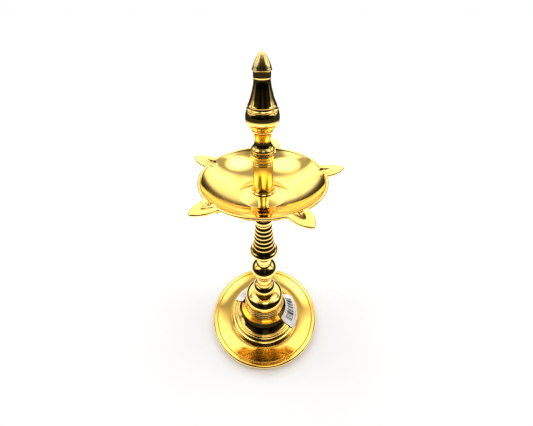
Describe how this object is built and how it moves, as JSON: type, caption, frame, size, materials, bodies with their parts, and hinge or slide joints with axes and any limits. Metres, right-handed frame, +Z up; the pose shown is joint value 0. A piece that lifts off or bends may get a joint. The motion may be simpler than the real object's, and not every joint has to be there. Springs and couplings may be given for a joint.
{
  "type": "standing oil lamp",
  "caption": "Turned brass standing oil lamp: a bell base on a wide dish, a ringed stem, a shallow oil pan with wick beaks, and a column and pointed finial above it.",
  "frame": {"origin": "on the table, under the middle of the lamp", "axes": "+Z up along the lamp's axis; the front label faces between +X and -Y"},
  "size_m": [0.1374, 0.1374, 0.305],
  "materials": {
    "brass_polished": "polished",
    "brass_dish": "gloss",
    "brass_turned": "satin",
    "steel_zinc": "satin",
    "paper": "matte"
  },
  "bodies": {
    "base": {"base_dish": "brass_dish", "bell_foot": "brass_polished", "base_stud": "steel_zinc", "base_washer": "steel_zinc", "base_nut": "steel_zinc", "label_right": "paper", "label_left": "paper"},
    "stem": {"lower_knop": "brass_polished", "knop_stud": "steel_zinc", "upper_knop": "brass_polished", "baluster_stud": "steel_zinc", "ringed_baluster": "brass_polished", "pan_stud": "steel_zinc"},
    "pan": {"oil_pan": "brass_polished"},
    "column": {"oil_column": "brass_polished", "column_collar": "brass_polished", "finial_stud": "steel_zinc"},
    "finial": {"finial_body": "brass_polished", "finial_cap": "brass_turned"}
  },
  "joints": [
    {"name": "stem_lift", "type": "slide", "parent": "base", "child": "stem", "axis": [0, 0, 1], "range_m": [0, 0.02]},
    {"name": "pan_turn", "type": "hinge", "parent": "stem", "child": "pan", "pos_m": [0, 0, 0.215], "axis": [0, 0, 1], "continuous": true},
    {"name": "column_lift", "type": "slide", "parent": "stem", "child": "column", "axis": [0, 0, 1], "range_m": [0, 0.02]},
    {"name": "finial_lift", "type": "slide", "parent": "column", "child": "finial", "axis": [0, 0, 1], "range_m": [0, 0.02]}
  ]
}
